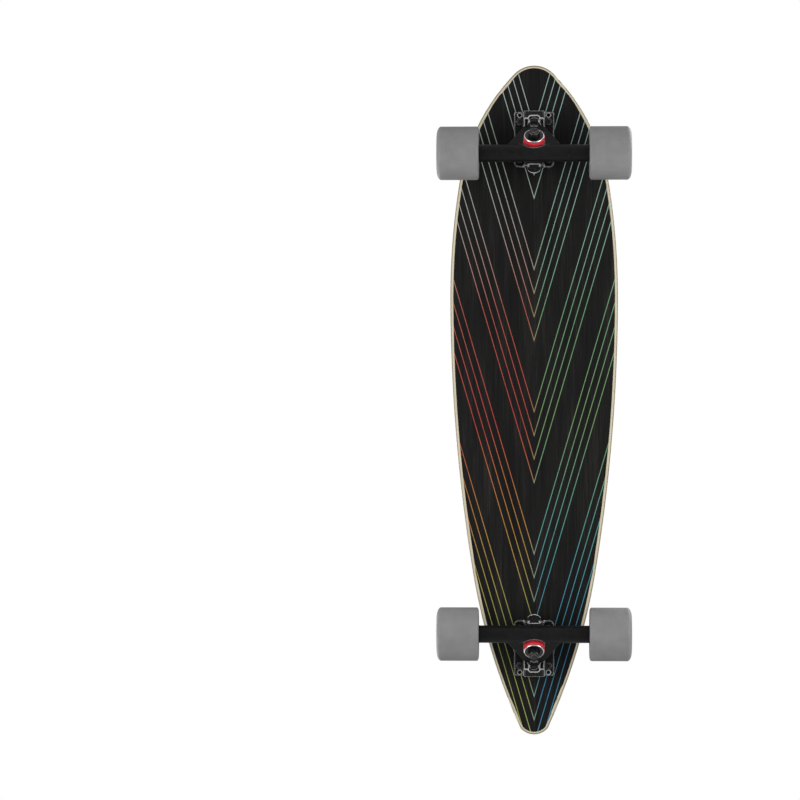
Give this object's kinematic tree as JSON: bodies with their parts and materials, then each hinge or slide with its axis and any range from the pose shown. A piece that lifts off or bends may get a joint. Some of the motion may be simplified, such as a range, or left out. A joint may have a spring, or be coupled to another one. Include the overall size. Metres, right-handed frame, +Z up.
{
  "type": "longboard skateboard",
  "caption": "Pintail longboard skateboard: pressed maple deck with grip tape, leaning reverse-kingpin trucks on soft bushings, and wide soft wheels on ball bearings.",
  "frame": {"origin": "on the ground under the middle of the deck", "axes": "+Y along the board towards the tail, +X to the board's left side, +Z up"},
  "size_m": [0.277, 0.965, 0.1225],
  "materials": {
    "maple_plies": "clear satin lacquer over maple plies",
    "stained_veneer": "black stain, satin, thin printed lines",
    "grip_sheet": "gritty, thin printed lines",
    "truck_casting": "black satin coating on cast aluminium",
    "black_steel": "black oxide",
    "washer_steel": "pressed and nickel plated",
    "axle_steel": "zinc plated",
    "bearing_steel": "ground and polished",
    "shield_steel": "pressed sheet",
    "bushing_urethane": "smooth, slightly glossy",
    "pivot_cup_urethane": "smooth",
    "wheel_urethane": "matte cast urethane",
    "wheel_core_plastic": "moulded"
  },
  "bodies": {
    "deck": {"deck_core": "maple_plies", "deck_bottom_veneer": "stained_veneer", "grip_tape": "grip_sheet", "deck_bolts": "black_steel", "deck_bolt_nuts": "black_steel", "front_baseplate": "truck_casting", "front_boardside_bushing": "bushing_urethane", "front_roadside_bushing": "bushing_urethane", "front_roadside_cup_washer": "washer_steel", "front_boardside_cup_washer": "washer_steel", "front_kingpin": "black_steel", "front_kingpin_nut": "black_steel", "front_pivot_cup": "pivot_cup_urethane", "rear_baseplate": "truck_casting", "rear_boardside_bushing": "bushing_urethane", "rear_roadside_bushing": "bushing_urethane", "rear_roadside_cup_washer": "washer_steel", "rear_boardside_cup_washer": "washer_steel", "rear_kingpin": "black_steel", "rear_kingpin_nut": "black_steel", "rear_pivot_cup": "pivot_cup_urethane"},
    "front_hanger": {"front_hanger": "truck_casting", "front_axle": "axle_steel", "front_speed_washers": "axle_steel", "front_axle_nuts": "axle_steel", "front_left_bearing_inner_races": "bearing_steel", "front_left_bearing_spacer": "bearing_steel", "front_right_bearing_inner_races": "bearing_steel", "front_right_bearing_spacer": "bearing_steel"},
    "front_left_wheel": {"front_left_tyre": "wheel_urethane", "front_left_core": "wheel_core_plastic", "front_left_bearing_outer_races": "bearing_steel", "front_left_bearing_shields": "shield_steel"},
    "front_left_ball_set": {"front_left_bearing_balls": "bearing_steel"},
    "front_right_wheel": {"front_right_tyre": "wheel_urethane", "front_right_core": "wheel_core_plastic", "front_right_bearing_outer_races": "bearing_steel", "front_right_bearing_shields": "shield_steel"},
    "front_right_ball_set": {"front_right_bearing_balls": "bearing_steel"},
    "rear_hanger": {"rear_hanger": "truck_casting", "rear_axle": "axle_steel", "rear_speed_washers": "axle_steel", "rear_axle_nuts": "axle_steel", "rear_left_bearing_inner_races": "bearing_steel", "rear_left_bearing_spacer": "bearing_steel", "rear_right_bearing_inner_races": "bearing_steel", "rear_right_bearing_spacer": "bearing_steel"},
    "rear_left_wheel": {"rear_left_tyre": "wheel_urethane", "rear_left_core": "wheel_core_plastic", "rear_left_bearing_outer_races": "bearing_steel", "rear_left_bearing_shields": "shield_steel"},
    "rear_left_ball_set": {"rear_left_bearing_balls": "bearing_steel"},
    "rear_right_wheel": {"rear_right_tyre": "wheel_urethane", "rear_right_core": "wheel_core_plastic", "rear_right_bearing_outer_races": "bearing_steel", "rear_right_bearing_shields": "shield_steel"},
    "rear_right_ball_set": {"rear_right_bearing_balls": "bearing_steel"}
  },
  "joints": [
    {"name": "front_truck_steer", "type": "hinge", "parent": "deck", "child": "front_hanger", "pos_m": [0, -0.351, 0.038], "axis": [0, -0.7071, 0.7071], "range_deg": [-18, 18], "stiffness_Nm_per_rad": 60, "deforming": ["front_boardside_bushing", "front_roadside_bushing"]},
    {"name": "front_left_wheel_spin", "type": "hinge", "parent": "front_hanger", "child": "front_left_wheel", "pos_m": [0.1085, -0.351, 0.038], "axis": [1, 0, 0], "continuous": true},
    {"name": "front_left_ball_spin", "type": "hinge", "parent": "front_hanger", "child": "front_left_ball_set", "pos_m": [0.1085, -0.351, 0.038], "axis": [1, 0, 0], "continuous": true},
    {"name": "front_right_wheel_spin", "type": "hinge", "parent": "front_hanger", "child": "front_right_wheel", "pos_m": [-0.1085, -0.351, 0.038], "axis": [1, 0, 0], "continuous": true},
    {"name": "front_right_ball_spin", "type": "hinge", "parent": "front_hanger", "child": "front_right_ball_set", "pos_m": [-0.1085, -0.351, 0.038], "axis": [1, 0, 0], "continuous": true},
    {"name": "rear_truck_steer", "type": "hinge", "parent": "deck", "child": "rear_hanger", "pos_m": [0, 0.333, 0.038], "axis": [0, 0.7071, 0.7071], "range_deg": [-18, 18], "stiffness_Nm_per_rad": 60, "deforming": ["rear_boardside_bushing", "rear_roadside_bushing"]},
    {"name": "rear_left_wheel_spin", "type": "hinge", "parent": "rear_hanger", "child": "rear_left_wheel", "pos_m": [0.1085, 0.333, 0.038], "axis": [1, 0, 0], "continuous": true},
    {"name": "rear_left_ball_spin", "type": "hinge", "parent": "rear_hanger", "child": "rear_left_ball_set", "pos_m": [0.1085, 0.333, 0.038], "axis": [1, 0, 0], "continuous": true},
    {"name": "rear_right_wheel_spin", "type": "hinge", "parent": "rear_hanger", "child": "rear_right_wheel", "pos_m": [-0.1085, 0.333, 0.038], "axis": [1, 0, 0], "continuous": true},
    {"name": "rear_right_ball_spin", "type": "hinge", "parent": "rear_hanger", "child": "rear_right_ball_set", "pos_m": [-0.1085, 0.333, 0.038], "axis": [1, 0, 0], "continuous": true}
  ],
  "couplings": [
    {"joint": "front_left_ball_spin", "follows": "front_left_wheel_spin", "ratio": 0.6311},
    {"joint": "front_right_ball_spin", "follows": "front_right_wheel_spin", "ratio": 0.6311},
    {"joint": "rear_left_ball_spin", "follows": "rear_left_wheel_spin", "ratio": 0.6311},
    {"joint": "rear_right_ball_spin", "follows": "rear_right_wheel_spin", "ratio": 0.6311}
  ]
}
